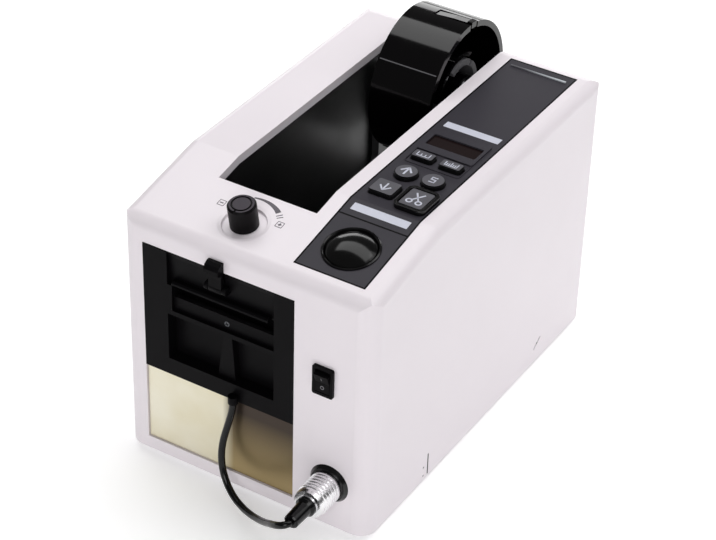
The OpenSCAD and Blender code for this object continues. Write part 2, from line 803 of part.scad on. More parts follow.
// Table under the tape in front of the feed roller
module tape_guide() {
  y0 = blade_y + blade_t + play;
  y1 = feed_y - feed_r - 0.4;
  low = mouth_z0 - 6;
  step_z = blade_z - blade_stroke - 0.6;
  table_z = tape_z - 2.6;
  color([0.12, 0.12, 0.13]) along_x(carrier_x1 + play, gear_x0 - 1) polygon([[bezel_back, low], [y1, low],
    [y1, table_z], [y0, table_z], [y0, step_z], [bezel_back, step_z]]);
}

module guard_bar() {
  f = front_y - bezel_proud;
  color([0.72, 0.72, 0.72]) along_x(in_x0 + 2.5, in_x1 - 3) polygon([[f - 0.4, mouth_z1],
    [f + bar_t, mouth_z1], [f + bar_t, mouth_z1 + 2], [f + 0.6, mouth_z1 + 2], [f - 0.4, mouth_z1 + 1.2]]);
}

module fixed_blade() {
  y0 = blade_y + blade_t + play;
  color([0.75, 0.76, 0.78]) along_x(carrier_x1 + play, in_x1 - 1) polygon([[y0, tape_z - 0.9],
    [y0 + 0.6, tape_z - 2.6], [y0 + 4, tape_z - 2.6], [y0 + 4, tape_z - 0.9]]);
}

module feed_motor() {
  color([0.35, 0.36, 0.38]) difference() {
    union() {
      rod_x(side_x1, side_x1 + motor_l, pinion_y, pinion_z, motor_r);
      rod_x(side_x1 - side_t, side_x1 + e, pinion_y, pinion_z, motor_boss);
      rod_x(side_x1 + motor_l - e, side_x1 + motor_l + 3, pinion_y, pinion_z, 4);
    }
    rod_x(side_x1 - side_t - 1, side_x1 + 10, pinion_y, pinion_z, motor_shaft + run);
  }
}

module cutter_motor() {
  x0 = cut_x1 + 0.5;
  z0 = tie_z + tie_t;
  color([0.7, 0.68, 0.6]) difference() {
    union() {
      block([x0, cut_y - cut_box_w / 2, z0], [x0 + cut_box_l, cut_y + cut_box_w / 2, z0 + cut_motor_h]);
      rod_x(x0 + cut_box_l - e, x0 + cut_box_l + cut_can_l, cut_y, cut_z, cut_motor_h / 2);
    }
    rod_x(x0 - 1, x0 + cut_box_l - 1, cut_y, cut_z, cut_shaft + run);
  }
}

// Switch-mode supply under the channel, inside its own casing
module power_supply() {
  z1 = base_top + psu_h;
  color([0.7, 0.71, 0.73]) difference() {
    block([ch_x0, psu_y0, base_top], [ch_x1, psu_y1, z1]);
    for (y = [psu_y0 + vent_edge:vent_step:psu_y1 - vent_edge])
      block([ch_x0 + vent_edge, y, z1 - vent_deep], [ch_x1 - vent_edge, y + vent_w, z1 + 1]);
  }
}

module reel_axle() {
  color([0.75, 0.76, 0.78]) {
    rod_x(ch_x0 + play, ch_x1 - play, axle_y, axle_z, axle_r);
    rod_x(drum_x0 - play - 3, drum_x0 - play, axle_y, axle_z, collar_r);
    rod_x(drum_x1 + play, drum_x1 + play + 1.2, axle_y, axle_z, collar_r);
  }
}

module reel_drum() {
  inner = drum_r - drum_wall;
  color([0.05, 0.05, 0.055]) difference() {
    union() {
      rod_x(drum_x0, drum_x1, axle_y, axle_z, drum_r);
      translate([drum_x0, axle_y, axle_z]) rotate([55, 0, 0]) translate([0, -drum_r - 0.4, -0.6])
        cube([drum_l, 2, 1.2]);
    }
    difference() {
      rod_x(drum_x0 + web_t, drum_x1 + 1, axle_y, axle_z, inner);
      rod_x(drum_x0, drum_x1, axle_y, axle_z, hub_r);
      drum_grips();
      for (a = [0:60:300]) translate([0, axle_y, axle_z]) rotate([a, 0, 0])
        block([drum_x0, 0, -rib_t / 2], [drum_x0 + 12, drum_r - 1, rib_t / 2]);
    }
    rod_x(drum_x0 - 1, drum_x1 + 1, axle_y, axle_z, axle_r + run);
    translate([drum_x1 - slot_l, axle_y, axle_z]) rotate([slot_tilt, 0, 0])
      translate([0, -spring_w / 2, inner - 2]) cube([drum_l, spring_w, drum_wall + 4]);
  }
}

// Two curved grips on the drum's web, between hub and rim
module drum_grips() {
  difference() {
    rod_x(drum_x0, drum_x1 - 4, axle_y, axle_z, grip_r);
    rod_x(drum_x0 - 1, drum_x1, axle_y, axle_z, grip_r - grip_t);
    translate([0, axle_y, axle_z]) rotate([25, 0, 0])
      block([drum_x0 - 1, -drum_r, -grip_r / 2], [drum_x1, drum_r, grip_r / 2]);
  }
}

// Springy tongue in the drum's slot that grips the core
module reel_spring() {
  half = spring_w / 2 - spring_gap;
  color([0.06, 0.06, 0.065]) translate([drum_x1 - slot_l, axle_y, axle_z]) rotate([slot_tilt, 0, 0])
    translate([0, 0, drum_r]) along_y(-half, half) polygon([[0, -2.4], [slot_l - 6, -1.6], [slot_l, -2.4],
      [slot_l, 0.6], [slot_l - 2.5, 0.9], [slot_l - 3, 0.1], [slot_l / 2, 0.1], [0, -0.6]]);
}

module start_button() {
  dome_r = (start_r * start_r + dome_h * dome_h) / (2 * dome_h);
  color([0.04, 0.04, 0.045]) on_deck(panel_x, start_y) {
    intersection() {
      translate([0, 0, dome_h - dome_r]) sphere(r = dome_r, $fn = 96);
      translate([0, 0, -1]) cylinder(h = dome_h + 2, r = start_r);
    }
    translate([0, 0, -wall - 1]) cylinder(h = wall + 1, r = start_r);
    translate([0, 0, -13 + start_travel + 0.2]) cylinder(h = 13 - start_travel - 0.2, r = stem_r);
  }
}

// Key cap with a retaining rim below the panel
module key_cap(at) {
  z0 = top_z - panel_t - 0.1;
  translate([0, 0, z0 - key_rim]) linear_extrude(key_rim) key_outline(at, 0.7);
  translate([0, 0, z0 - e]) linear_extrude(panel_t + 0.1 + key_proud - key_step + e) key_outline(at, 0);
  translate([0, 0, top_z + key_proud - key_step - e]) linear_extrude(key_step + e) key_outline(at, -key_step);
}

module unit_key() { color([0.45, 0.45, 0.47]) key_cap(unit_at); }
module mode_key() { color([0.45, 0.45, 0.47]) key_cap(mode_at); }
module up_key() { color([0.5, 0.5, 0.52]) key_cap(up_at); }
module program_key() { color([0.5, 0.5, 0.52]) key_cap(program_at); }
module down_key() { color([0.5, 0.5, 0.52]) key_cap(down_at); }
module cut_key() { color([0.5, 0.5, 0.52]) key_cap(cut_at); }

module power_rocker() {
  h = switch_h / 2 - rocker_end;
  color([0.05, 0.05, 0.055]) translate([switch_x, front_y + 1, switch_z]) rotate([rocker_tilt, 0, 0]) {
    along_x(-rocker_w / 2, rocker_w / 2) polygon([[-rocker_out, -h], [-rocker_dip, 0],
      [-rocker_out, h], [0, h], [rocker_in, rocker_in / 2], [rocker_in, -rocker_in / 2], [0, -h]]);
    rod_x(-rocker_w / 2 - 0.8, rocker_w / 2 + 0.8, 0, 0, rocker_pin);
  }
}

module speed_knob() {
  r = knob_d / 2;
  z0 = -dish_d + knob_gap;
  color([0.06, 0.06, 0.065]) on_deck(knob_x, knob_y) {
    difference() {
      translate([0, 0, z0]) rotate_extrude() polygon([[0, 0], [r, 0], [r, knob_h - 0.8], [r - 0.8, knob_h],
        [r - 1.8, knob_h], [r - 1.8, knob_h - 0.5], [r - 2.6, knob_h - 0.5], [r - 2.6, knob_h],
        [0, knob_h]]);
      translate([0, -r, z0 + knob_h - 0.6]) translate([-0.4, 0, 0]) cube([0.8, 2.4, 1]);
    }
    translate([0, 0, -wall - 7]) cylinder(h = wall + 8 + z0, r = shaft_r);
  }
}

// Spur gear outline with straight-flanked teeth
module gear_outline(teeth, turn) {
  rp = tooth * teeth / 2;
  step = 360 / teeth;
  polygon([for (i = [0:teeth - 1], k = gear_tooth) let (a = turn + (i + k[0]) * step, r = rp + k[1] * tooth)
    [r * cos(a), r * sin(a)]]);
}
gear_tooth = [[-0.34, -1.2], [-0.215, 0], [-0.1, 0.9], [0.1, 0.9], [0.215, 0], [0.34, -1.2]];

module feed_roller() {
  color([0.12, 0.12, 0.13]) {
    rod_x(roller_x0, roller_x1, feed_y, feed_z, feed_r);
    rod_x(side_x0 - 1.5, side_x1 + 1.5, feed_y, feed_z, feed_shaft);
  }
}

module feed_gear() {
  color([0.85, 0.85, 0.82]) difference() {
    translate([0, feed_y, feed_z]) along_x(gear_x0, gear_x0 + gear_w) gear_outline(gear_teeth, mesh_tilt);
    rod_x(gear_x0 - 1, gear_x0 + gear_w + 1, feed_y, feed_z, feed_shaft);
  }
}

module pressure_roller() {
  color([0.35, 0.34, 0.33]) {
    rod_x(roller_x0 + 4, roller_x1 - 2, feed_y, press_z, press_r);
    rod_x(side_x0 - 1.5, side_x1 + 1.5, feed_y, press_z, press_shaft);
  }
}

module drive_pinion() {
  color([0.8, 0.7, 0.4]) {
    translate([0, pinion_y, pinion_z]) along_x(gear_x0, gear_x0 + gear_w)
      gear_outline(pinion_teeth, mesh_tilt + 180 + 180 / pinion_teeth);
    rod_x(gear_x0, side_x1 + 9, pinion_y, pinion_z, motor_shaft);
  }
}

module moving_blade() {
  color([0.78, 0.79, 0.8]) along_x(carrier_x1, in_x1 - 2) polygon([[blade_y + blade_t, blade_z],
    [blade_y + blade_t, blade_z + blade_h], [blade_y, blade_z + blade_h], [blade_y, blade_z + 1.4]]);
}

// Rack that drives the blade, level with the cutter pinion
module blade_carrier() {
  pitch = PI * tooth;
  root = blade_y + carrier_t;
  color([0.3, 0.3, 0.32]) {
    block([side_x0 + side_t + play, blade_y, blade_z], [carrier_x1, root, rack_z1]);
    along_x(cut_x0, cut_x1) for (i = [-1:4]) translate([rack_line, cut_z + (i + 0.5) * pitch])
      polygon([for (k = gear_tooth) [k[1] * tooth - (k[1] < -1 ? 0.1 : 0), k[0] * pitch]]);
  }
}
rack_z1 = cut_z + blade_stroke + 2.6;

module cutter_pinion() {
  color([0.8, 0.7, 0.4]) {
    translate([0, cut_y, cut_z]) along_x(cut_x0 + 0.5, cut_x1 - 0.5) gear_outline(cut_teeth, 180);
    rod_x(cut_x0 + 0.5, cut_x1 + 7, cut_y, cut_z, cut_shaft);
  }
}

// Sprung lever on the bezel's two ears, with a thumb tab over the housing's face
module module_latch() {
  back = front_y - play;
  half = latch_w / 2;
  color([0.09, 0.09, 0.095]) {
    along_x(latch_x - half, latch_x + half)
      polygon([[latch_y - 1.6, latch_z - 1.5], [latch_y + 1, latch_z - 1.5], [latch_y + 1, latch_z + 4],
        [back, latch_z + 8], [back, win_z1 + 5], [front_y - 1.4, win_z1 + 5.5], [front_y - 2, win_z1 + 1],
        [latch_y - 1.6, latch_z + 6]]);
    along_x(latch_x - half - tab_out, latch_x + half + tab_out)
      polygon([[back, win_z1 - 0.2], [back, win_z1 + tab_h], [back - 1.6, win_z1 + tab_h],
        [back - 3.4, win_z1 + tab_h - 1], [back - tab_t, win_z1 + tab_h - 3], [back - tab_t, win_z1 + 0.6],
        [back - tab_t + 1.4, win_z1 - 0.4], [back - 1.4, win_z1 - 0.4]]);
    rod_x(latch_x - half, latch_x + half, latch_y, latch_z, latch_eye);
    rod_x(latch_x - half - 2, latch_x + half + 2, latch_y, latch_z, latch_pin);
  }
}

// Ribbed coupling ring that turns on the plug
module plug_ring() {
  y0 = front_y - socket_t - play;
  step = (ring_l - 4) / ring_ribs;
  r = ring_d / 2;
  color([0.75, 0.75, 0.77]) translate([socket_x, y0, socket_z]) rotate([90, 0, 0]) difference() {
    rotate_extrude() polygon(concat([[0, 0], [r - 0.5, 0]],
      [for (i = [0:ring_ribs - 1], k = ring_rib) [r + k[1], (i + k[0]) * step + 1.2]],
      [[r - 0.5, ring_l - 2], [r - 0.8, ring_l], [0, ring_l]]));
    translate([0, 0, -1]) cylinder(h = collar_l + 1.3, r = collar_out + run);
    cylinder(h = ring_l + 1, r = collar_in + run);
  }
}

// Inner body of the plug, seated in the socket's collar
module plug_core() {
  y1 = front_y - socket_t;
  color([0.2, 0.2, 0.2]) {
    rod_y(y1 - ring_l - 0.8, y1 - collar_l - 0.2, socket_x, socket_z, collar_in);
    rod_y(y1 - collar_l, y1 - 2, socket_x, socket_z, collar_in - run);
    rod_y(y1 - collar_l - 0.2 - e, y1 - collar_l + e, socket_x, socket_z, collar_in - 0.5);
  }
}

module cable_boot() {
  y1 = front_y - socket_t - ring_l - 0.8;
  color([0.06, 0.06, 0.06]) translate([socket_x, y1, socket_z]) rotate([90, 0, 0]) rotate_extrude()
    polygon([[0, 0], [5, 0], [5, 1.8], [3.9, 3], [3.6, boot_l - 0.6], [3, boot_l], [0, boot_l]]);
}

// Tube swept along a route, with rings square to the path
function unit(v) = v / norm(v);
function along(p, i) = unit(p[min(i + 1, len(p) - 1)] - p[max(i - 1, 0)]);
function frame_side(t) = unit(cross(t, abs(t[2]) > 0.9 ? [1, 0, 0] : [0, 0, 1]));
module tube(p, r, sides) {
  n = len(p);
  points = [for (i = [0:n - 1], k = [0:sides - 1]) let (t = along(p, i), u = frame_side(t), v = cross(t, u),
    a = 360 * k / sides) p[i] + r * (cos(a) * u + sin(a) * v)];
  walls = [for (i = [0:n - 2], k = [0:sides - 1], half = [0, 1]) let (a = i * sides, b = (k + 1) % sides)
    half == 0 ? [a + k, a + sides + k, a + sides + b] : [a + k, a + sides + b, a + b]];
  start = [for (k = [0:sides - 1]) k];
  stop = [for (k = [sides - 1:-1:0]) (n - 1) * sides + k];
  polyhedron(points, concat(walls, [start, stop]));
}

module sensor_cable() {
  color([0.05, 0.05, 0.055]) tube(cable_route, cable_d / 2, 8);
}

housing();
base_plate();
rubber_feet();
base_screws();
channel_liner();
reel_cradles();
control_panel();
start_panel();
display_lens();
display_bezel();
cut_frame();
display_unit();
control_board();
key_switches();
start_bezel();
start_switch();
knob_control();
switch_frame();
connector_socket();
mains_inlet();
face_plate();
module_bezel();
module_chassis();
tape_guide();
guard_bar();
fixed_blade();
feed_motor();
cutter_motor();
power_supply();
reel_axle();
reel_drum();
reel_spring();
start_button();
unit_key();
mode_key();
up_key();
program_key();
down_key();
cut_key();
power_rocker();
speed_knob();
feed_roller();
feed_gear();
pressure_roller();
drive_pinion();
moving_blade();
blade_carrier();
cutter_pinion();
module_latch();
plug_ring();
plug_core();
cable_boot();
sensor_cable();
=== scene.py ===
"""Looks of the electric tape dispenser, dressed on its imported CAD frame.

Sizes and places are in millimetres until a piece is made, and angles in degrees,
apart from the stage and its lights, which are in metres.
"""

import math

import bmesh
import bpy
from mathutils import Matrix, Vector


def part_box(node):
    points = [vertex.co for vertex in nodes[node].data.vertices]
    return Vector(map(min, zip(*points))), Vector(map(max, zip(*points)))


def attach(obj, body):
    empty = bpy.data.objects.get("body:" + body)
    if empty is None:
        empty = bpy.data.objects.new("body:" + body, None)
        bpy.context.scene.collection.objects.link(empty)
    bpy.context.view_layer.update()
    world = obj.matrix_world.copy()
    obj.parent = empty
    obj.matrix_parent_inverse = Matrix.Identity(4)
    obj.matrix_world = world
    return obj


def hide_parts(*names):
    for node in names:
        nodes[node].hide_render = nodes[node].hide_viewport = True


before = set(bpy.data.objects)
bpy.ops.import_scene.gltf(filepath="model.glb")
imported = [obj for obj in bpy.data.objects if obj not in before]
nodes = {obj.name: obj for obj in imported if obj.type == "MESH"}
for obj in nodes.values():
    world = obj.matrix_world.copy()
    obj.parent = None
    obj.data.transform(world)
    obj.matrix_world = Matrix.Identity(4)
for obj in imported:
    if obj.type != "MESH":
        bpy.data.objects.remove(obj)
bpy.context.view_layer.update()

MM = 0.001

# Places of the housing that the CAD model shares with this script, and the slope of its front deck in radians
FRONT_Y = -106.0
TOP_Z = 144.5
BEND_Y = -51.4
SLOPE_DROP = 10.3
SLOPE_RUN = 54.6
SLOPE = math.atan(SLOPE_DROP / SLOPE_RUN)

# Camera of the photograph: place, directions of the image, sensor, lens, shift of the image and nearest depth
CAMERA_AT = (465.55, -786.67, 708.59)
CAMERA_RIGHT = (0.84932834, 0.52725967, 0.02527073)
CAMERA_UP = (-0.32082912, 0.47760199, 0.81790281)
CAMERA_AHEAD = (-0.41917781, 0.70277563, -0.57480117)
CAMERA_SENSOR = 36.0
CAMERA_LENS = 115.39
CAMERA_SHIFT = (-0.0025, -0.0017)
CAMERA_NEAR = 50.0

# Sensor cable: its route and diameter as in the CAD model, the jacket's radius as a share of that diameter,
# just under a half to stay in the solid, and the steps round it and between two points of the route
CABLE_ROUTE = (
    (46.8, -138.2, 27.5), (46.8, -139.2, 27.6), (46.2, -140.3, 27.5), (44.9, -141.1, 27.0),
    (43.0, -141.2, 26.0), (40.6, -140.5, 24.5), (38.0, -139.1, 22.6), (34.9, -137.0, 20.1),
    (31.0, -134.4, 16.9), (23.2, -129.3, 11.6), (15.7, -125.2, 8.4), (9.1, -121.6, 6.8),
    (3.5, -118.8, 7.0), (-0.9, -116.6, 8.8), (-4.1, -115.0, 11.6), (-6.4, -113.8, 15.3),
    (-7.8, -112.9, 19.6), (-8.4, -112.1, 24.6), (-8.2, -111.3, 30.1), (-7.3, -110.5, 35.6),
    (-6.2, -109.7, 41.0), (-5.2, -108.9, 46.2), (-4.6, -108.5, 50.2), (-4.4, -108.4, 53.2),
)
CABLE_D = 3.5
JACKET_SHARE = 0.49
JACKET_ROUND = 6
JACKET_STEPS = 8


def make_camera():
    data = bpy.data.cameras.new("camera")
    data.sensor_width = CAMERA_SENSOR
    data.lens = CAMERA_LENS
    data.shift_x, data.shift_y = CAMERA_SHIFT
    data.clip_start = CAMERA_NEAR * MM
    camera = bpy.data.objects.new("camera", data)
    right, up, back = Vector(CAMERA_RIGHT), Vector(CAMERA_UP), -Vector(CAMERA_AHEAD)
    turn = Matrix((right, up, back)).transposed().to_4x4()
    camera.matrix_world = Matrix.Translation(Vector(CAMERA_AT) * MM) @ turn
    bpy.context.scene.collection.objects.link(camera)
    bpy.context.scene.camera = camera


# Materials

# Roughness of every clear coat, part of the noise's range that is used, fineness of each kind of noise,
# least roughness of a worn surface, and the stretch of noise that is even all ways
COAT_ROUGH = 0.08
NOISE_SPAN = (0.2, 0.8)
TINT_DETAIL = 3.0
WEAR_DETAIL = 6.0
RELIEF_DETAIL = 2.0
LEAST_ROUGH = 0.02
EVEN = (1, 1, 1)


def srgb(r, g, b):
    """Linear colour of an 8-bit screen colour."""
    def line(c):
        c /= 255
        return c / 12.92 if c <= 0.04045 else ((c + 0.055) / 1.055) ** 2.4
    return (line(r), line(g), line(b), 1.0)


class Finish:
    """A principled material whose colour, roughness and relief vary over the surface."""

    def __init__(self, name, color, rough, metal=0.0, coat=0.0, specular=0.5):
        self.mat = bpy.data.materials.new(name)
        self.mat.use_nodes = True
        self.tree = self.mat.node_tree
        self.shader = self.tree.nodes["Principled BSDF"]
        self.shader.inputs["Base Color"].default_value = color
        self.shader.inputs["Roughness"].default_value = rough
        self.shader.inputs["Metallic"].default_value = metal
        self.shader.inputs["Coat Weight"].default_value = coat
        self.shader.inputs["Coat Roughness"].default_value = COAT_ROUGH
        self.shader.inputs["Specular IOR Level"].default_value = specular
        self.color = color
        self.rough = rough
        self.point = self.tree.nodes.new("ShaderNodeTexCoord").outputs["Object"]

    def noise(self, scale, detail, stretch=EVEN):
        """Noise in the part's own frame, with features about 1 / scale metres across."""
        spread = self.tree.nodes.new("ShaderNodeMapping")
        spread.inputs["Scale"].default_value = stretch
        self.tree.links.new(self.point, spread.inputs["Vector"])
        field = self.tree.nodes.new("ShaderNodeTexNoise")
        field.inputs["Scale"].default_value = scale
        field.inputs["Detail"].default_value = detail
        self.tree.links.new(spread.outputs["Vector"], field.inputs["Vector"])
        return field.outputs["Fac"]

    def ramp(self, value, span, out=(0.0, 1.0)):
        """Carries a span of a value over to another span."""
        node = self.tree.nodes.new("ShaderNodeMapRange")
        for key, limit in zip(("From Min", "From Max", "To Min", "To Max"), (*span, *out)):
            node.inputs[key].default_value = limit
        self.tree.links.new(value, node.inputs["Value"])
        return node.outputs["Result"]

    def fade(self, axis, start, end):
        """Goes from 0 to 1 between two places along one axis of the part's own frame."""
        split = self.tree.nodes.new("ShaderNodeSeparateXYZ")
        self.tree.links.new(self.point, split.inputs["Vector"])
        return self.ramp(split.outputs[axis], (start * MM, end * MM))

    def mix(self, share, a, b):
        """Colour between a and b, each a colour or another node's output."""
        node = self.tree.nodes.new("ShaderNodeMix")
        node.data_type = "RGBA"
        self.tree.links.new(share, node.inputs["Factor"])
        for key, value in (("A", a), ("B", b)):
            if isinstance(value, tuple):
                node.inputs[key].default_value = value
            else:
                self.tree.links.new(value, node.inputs[key])
        return node.outputs["Result"]

    def paint(self, color):
        self.tree.links.new(color, self.shader.inputs["Base Color"])
        return self

    def tint(self, amount, scale):
        """Slow drift of the colour, darker by amount."""
        darker = tuple(c * (1 - amount) for c in self.color[:3]) + (1.0,)
        share = self.ramp(self.noise(scale, TINT_DETAIL), NOISE_SPAN)
        return self.paint(self.mix(share, self.color, darker))

    def wear(self, amount, scale, stretch=EVEN):
        """Patches and faint scuffs of a different gloss."""
        span = (max(self.rough - amount, LEAST_ROUGH), min(self.rough + amount, 1.0))
        rough = self.ramp(self.noise(scale, WEAR_DETAIL, stretch), NOISE_SPAN, span)
        self.tree.links.new(rough, self.shader.inputs["Roughness"])
        return self

    def relief(self, height, scale, stretch=EVEN, strength=0.4):
        """Fine surface grain of a height in millimetres."""
        bump = self.tree.nodes.new("ShaderNodeBump")
        bump.inputs["Strength"].default_value = strength
        bump.inputs["Distance"].default_value = height * MM
        self.tree.links.new(self.noise(scale, RELIEF_DETAIL, stretch), bump.inputs["Height"])
        self.tree.links.new(bump.outputs["Normal"], self.shader.inputs["Normal"])
        return self


# White and black mouldings
white = Finish("white_shell", srgb(238, 231, 236), 0.36, coat=0.1, specular=0.4)
white.tint(0.03, 18).wear(0.06, 45).relief(0.02, 1400, strength=0.25)
painted = Finish("painted_base", srgb(190, 191, 193), 0.45)
painted.tint(0.06, 40).wear(0.08, 60).relief(0.04, 1500)
black = Finish("black_satin", srgb(13, 12, 14), 0.42, specular=0.05)
black.tint(0.25, 30).wear(0.08, 70).relief(0.02, 1800)
liner_black = Finish("liner_black", srgb(18, 18, 19), 0.36, specular=0.45)
liner_black.tint(0.2, 20).wear(0.06, 40).relief(0.015, 900)
# Reel cradles, grey as a painted reflection: lighter than the liner for the haze of reflected light in the
# channel
cradle_reflection_grey = Finish("cradle_reflection_grey", srgb(62, 61, 63), 0.4, specular=0.4)
cradle_reflection_grey.tint(0.15, 40).wear(0.06, 60).relief(0.015, 900)
gloss = Finish("gloss_black", srgb(8, 7, 8), 0.19, specular=0.45)
gloss.tint(0.2, 40).wear(0.05, 90).relief(0.01, 500, strength=0.12)
drum_black = Finish("drum_black", srgb(4, 3, 4), 0.09, specular=0.34)
drum_black.tint(0.2, 40).wear(0.03, 90).relief(0.006, 300, strength=0.08)
# Grey of the ring round the drum's hub, and the pale of the painted highlight on the drum's seam
hub_grey_and_seam_highlight = Finish("hub_grey_and_seam_highlight", srgb(104, 103, 106), 0.5, specular=0.3)
hub_grey_and_seam_highlight.tint(0.12, 60).wear(0.08, 90).relief(0.02, 900)
acetal = Finish("acetal", srgb(222, 220, 208), 0.4)
acetal.tint(0.06, 60).wear(0.07, 90).relief(0.02, 900)

# Panel, keys, button and knob
panel_grey = Finish("panel_grey", srgb(60, 58, 64), 0.34, specular=0.1)
panel_grey.tint(0.1, 30).wear(0.06, 60).relief(0.01, 1500, strength=0.2)
# Painted light on the keys' top faces, which are lighter than the keys' black sides where the light falls
key_grey = Finish("key_grey", srgb(88, 87, 93), 0.34, specular=0.35)
key_grey.tint(0.12, 90).wear(0.07, 150).relief(0.015, 1600)
key_black = Finish("key_black", srgb(13, 13, 14), 0.3, specular=0.3)
key_black.tint(0.2, 90).wear(0.06, 120).relief(0.015, 1600)
button_black = Finish("button_black", srgb(9, 9, 9), 0.14, specular=0.3)
button_black.tint(0.2, 40).wear(0.03, 90).relief(0.01, 500, strength=0.12)
knob_black = Finish("knob_black", srgb(9, 7, 9), 0.4, specular=0.1)
knob_black.tint(0.2, 60).wear(0.08, 110).relief(0.02, 1500)
# Painted light on the knob's top faces, lighter than its black sides where the light falls
knob_top_painted_light = Finish("knob_top_painted_light", srgb(66, 61, 68), 0.4, specular=0.14)
knob_top_painted_light.tint(0.12, 90).wear(0.07, 150).relief(0.015, 1600)
lens = Finish("smoked_lens", srgb(34, 24, 24), 0.08, specular=0.3)
lens.tint(0.3, 50).wear(0.03, 80)

# Painted highlight on the ridge on the panel: its colour goes from grey to pale towards its right end
RIDGE_HIGHLIGHT_FADE = (30.0, 52.0)
ridge_highlight = Finish("ridge_highlight", srgb(80, 79, 84), 0.3, specular=0.2)
ridge_highlight.wear(0.06, 150).relief(0.01, 1600)
ridge_highlight.paint(ridge_highlight.mix(ridge_highlight.fade("X", *RIDGE_HIGHLIGHT_FADE), srgb(88, 87, 92), srgb(200, 205, 210)))

# Rubber and cable
rubber = Finish("foot_rubber", srgb(22, 22, 22), 0.75)
rubber.tint(0.2, 70).wear(0.1, 100).relief(0.05, 900)
roller = Finish("roller_rubber", srgb(46, 45, 44), 0.6)
roller.tint(0.2, 70).wear(0.1, 120).relief(0.05, 1200)
jacket = Finish("cable_jacket", srgb(7, 7, 8), 0.15, specular=0.28)
jacket.tint(0.2, 60).wear(0.05, 160).relief(0.02, 800, strength=0.2)

# Gold plate, with a painted pale sheen on its left and a painted shade on its right that deepens upward
PAINTED_SHEEN_END = (-12.5, -6.5)
PAINTED_SHADE_RISE = (14.0, 46.0)
CREAM_SPAN = (0.3, 0.7)
gold = Finish("gold_plate", srgb(236, 230, 208), 0.3, metal=0.6)
gold.wear(0.03, 40, (1, 1, 6)).relief(0.004, 60, (1, 1, 60), 0.15)
# Painted shade on the plate's right: tan low down, deepening to dark brown upward
painted_shade = gold.mix(gold.fade("Z", *PAINTED_SHADE_RISE), srgb(160, 140, 98), srgb(58, 47, 38))
drift = gold.ramp(gold.noise(30, TINT_DETAIL), CREAM_SPAN)
# Painted pale sheen on the plate's left, its cream drifting at random
painted_sheen = gold.mix(drift, srgb(232, 227, 208), srgb(219, 210, 178))
gold.paint(gold.mix(gold.fade("X", *PAINTED_SHEEN_END), painted_sheen, painted_shade))

# Other metals, and the board
sheet = Finish("sheet_steel", srgb(176, 178, 182), 0.34, metal=1.0)
sheet.tint(0.1, 30).wear(0.09, 60, (1, 8, 1)).relief(0.01, 700)
bright = Finish("bright_steel", srgb(205, 205, 210), 0.2, metal=1.0)
bright.tint(0.1, 40).wear(0.07, 80, (12, 1, 1)).relief(0.01, 900)
nickel = Finish("nickel", srgb(240, 239, 241), 0.24, metal=1.0)
nickel.tint(0.08, 90).wear(0.08, 130).relief(0.01, 900)
brass = Finish("brass", srgb(205, 172, 96), 0.28, metal=1.0)
brass.tint(0.12, 90).wear(0.08, 120).relief(0.01, 900)
motor_grey = Finish("motor_grey", srgb(96, 98, 102), 0.4, metal=0.7)
motor_grey.tint(0.15, 60).wear(0.1, 80).relief(0.02, 900)
board = Finish("board_green", srgb(40, 108, 66), 0.35, coat=0.3)
board.tint(0.25, 160).wear(0.08, 120).relief(0.03, 400)

# Print
print_pale = Finish("print_pale", srgb(205, 207, 220), 0.42)
print_pale.tint(0.08, 300).wear(0.08, 400).relief(0.01, 3000)
print_dim = Finish("print_dim", srgb(112, 110, 116), 0.45)
print_dim.tint(0.15, 300).wear(0.08, 400).relief(0.01, 3000)
print_dark = Finish("print_dark", srgb(88, 82, 90), 0.45)
print_dark.tint(0.15, 300).wear(0.08, 400).relief(0.01, 3000)

NODE_FINISH = {
    white: ("housing",),
    painted: ("base_plate",),
    rubber: ("rubber_feet",),
    bright: ("base_screws", "reel_axle", "fixed_blade", "moving_blade"),
    liner_black: ("channel_liner",),
    cradle_reflection_grey: ("reel_cradles",),
    black: ("module_bezel", "tape_guide", "switch_frame", "mains_inlet", "knob_control", "start_switch",
            "key_switches", "display_unit", "blade_carrier", "guard_bar", "module_latch", "power_rocker"),
    panel_grey: ("control_panel", "start_panel", "display_bezel"),
    lens: ("display_lens",),
    board: ("control_board",),
    gloss: ("start_bezel", "cut_frame", "connector_socket"),
    drum_black: ("reel_drum", "reel_spring"),
    button_black: ("start_button",),
    knob_black: ("speed_knob",),
    gold: ("face_plate",),
    sheet: ("module_chassis", "power_supply"),
    motor_grey: ("feed_motor", "cutter_motor"),
    key_black: ("unit_key", "mode_key", "up_key", "program_key", "down_key", "cut_key"),
    roller: ("feed_roller", "pressure_roller"),
    acetal: ("feed_gear",),
    brass: ("drive_pinion", "cutter_pinion"),
    nickel: ("plug_ring", "plug_core"),
    jacket: ("cable_boot", "sensor_cable"),
}


def dress_nodes():
    for finish, names in NODE_FINISH.items():
        for name in names:
            data = nodes[name].data
            data.materials.clear()
            data.materials.append(finish.mat)


# Nodes whose sharp edges get a small round, with its width, the angle from which an edge is sharp, the
# round's steps, and the gap below which two vertices are one
SOFT_EDGES = {
    "module_bezel": 0.3, "module_latch": 0.5, "guard_bar": 0.3, "cut_frame": 0.2,
    "switch_frame": 0.3, "power_rocker": 0.3, "face_plate": 0.2, "display_bezel": 0.2,
}
SHARP_ANGLE = 40
ROUND_SEGMENTS = 2
WELD_GAP = 0.001


def round_edge(obj, width):
    soft = obj.modifiers.new("bevel", "BEVEL")
    soft.width = width * MM
    soft.segments = ROUND_SEGMENTS
    soft.limit_method = "ANGLE"
    soft.angle_limit = math.radians(SHARP_ANGLE)
    soft.harden_normals = True


def soften_nodes():
    for name, width in SOFT_EDGES.items():
        weld = nodes[name].modifiers.new("weld", "WELD")
        weld.merge_threshold = WELD_GAP * MM
        round_edge(nodes[name], width)


# Making of pieces

